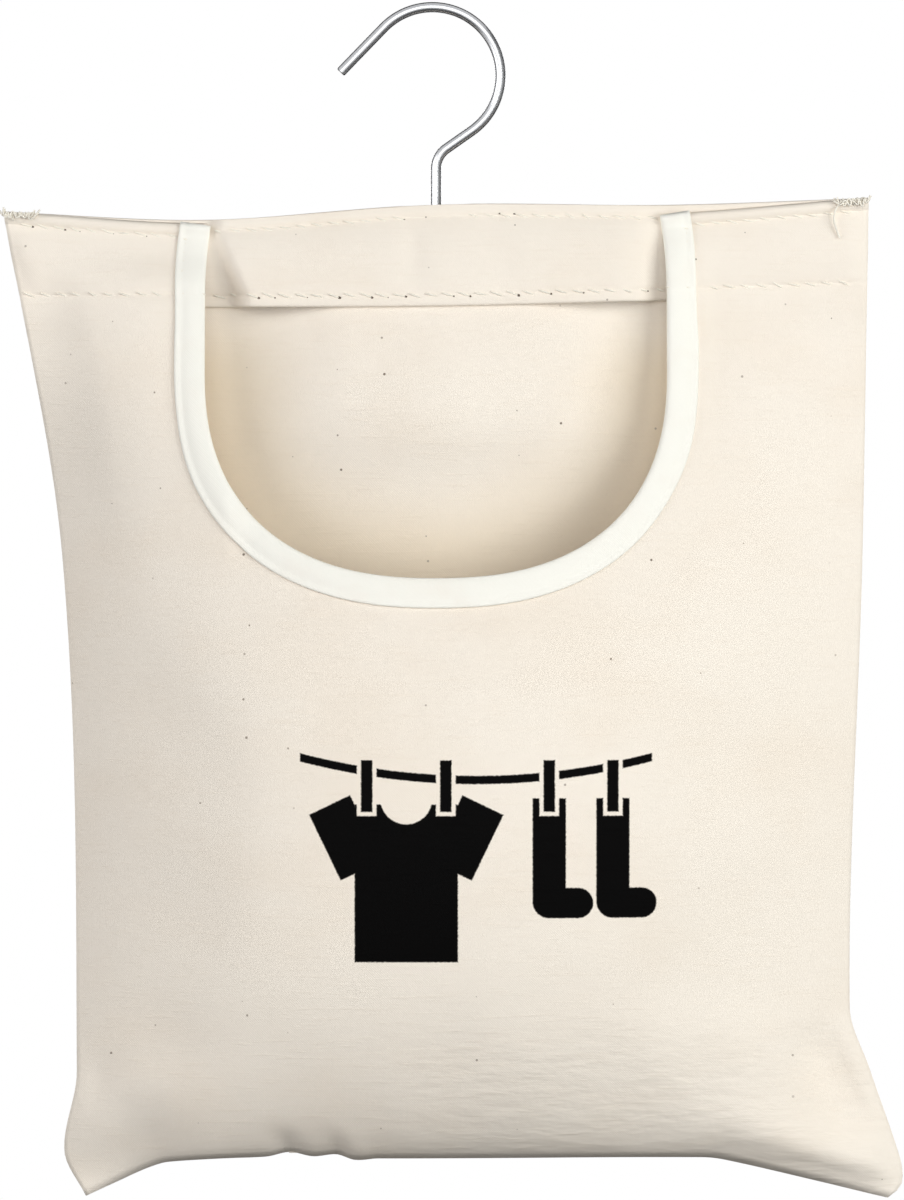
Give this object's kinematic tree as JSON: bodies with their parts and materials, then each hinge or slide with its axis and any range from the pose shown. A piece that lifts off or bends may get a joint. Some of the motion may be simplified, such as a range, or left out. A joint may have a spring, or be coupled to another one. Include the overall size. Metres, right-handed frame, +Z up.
{
  "type": "peg bag",
  "caption": "Cotton canvas peg bag with a deep bound mouth in its front, hung from a clothes line by a steel wire hook that swivels in a bar in the top casing.",
  "frame": {"origin": "inside of the hook's crown, where the line bears on it", "axes": "+Z up along the hook's stem, +X to the right seen from the front, +Y from the front panel to the back panel"},
  "size_m": [0.2997, 0.08, 0.3985],
  "materials": {
    "steel": "bright polished steel wire",
    "canvas": "unbleached plain-weave cotton canvas with seed flecks",
    "tape": "bleached cotton binding tape",
    "thread": "matt sewing thread",
    "beech": "planed pale wood"
  },
  "bodies": {
    "hook": {"hook": "steel"},
    "bag": {"hanger_bar": "beech", "upper_washer": "steel", "lower_washer": "steel", "back_panel": "canvas", "front_panel": "canvas", "casing_facing": "canvas", "mouth_binding": "tape", "binding_stitch": "thread", "edge_stitch_left": "thread", "edge_stitch_right": "thread", "casing_stitch_left": "thread", "casing_stitch_middle": "thread", "casing_stitch_right": "thread", "left_corner_tack": "thread", "right_corner_tack": "thread", "left_seam_overlock": "thread", "right_seam_overlock": "thread", "bottom_seam_overlock": "thread"}
  },
  "joints": [
    {"name": "hook_swivel", "type": "hinge", "parent": "hook", "child": "bag", "pos_m": [0.0012, 0, -0.0645], "axis": [0, 0, 1], "continuous": true}
  ]
}
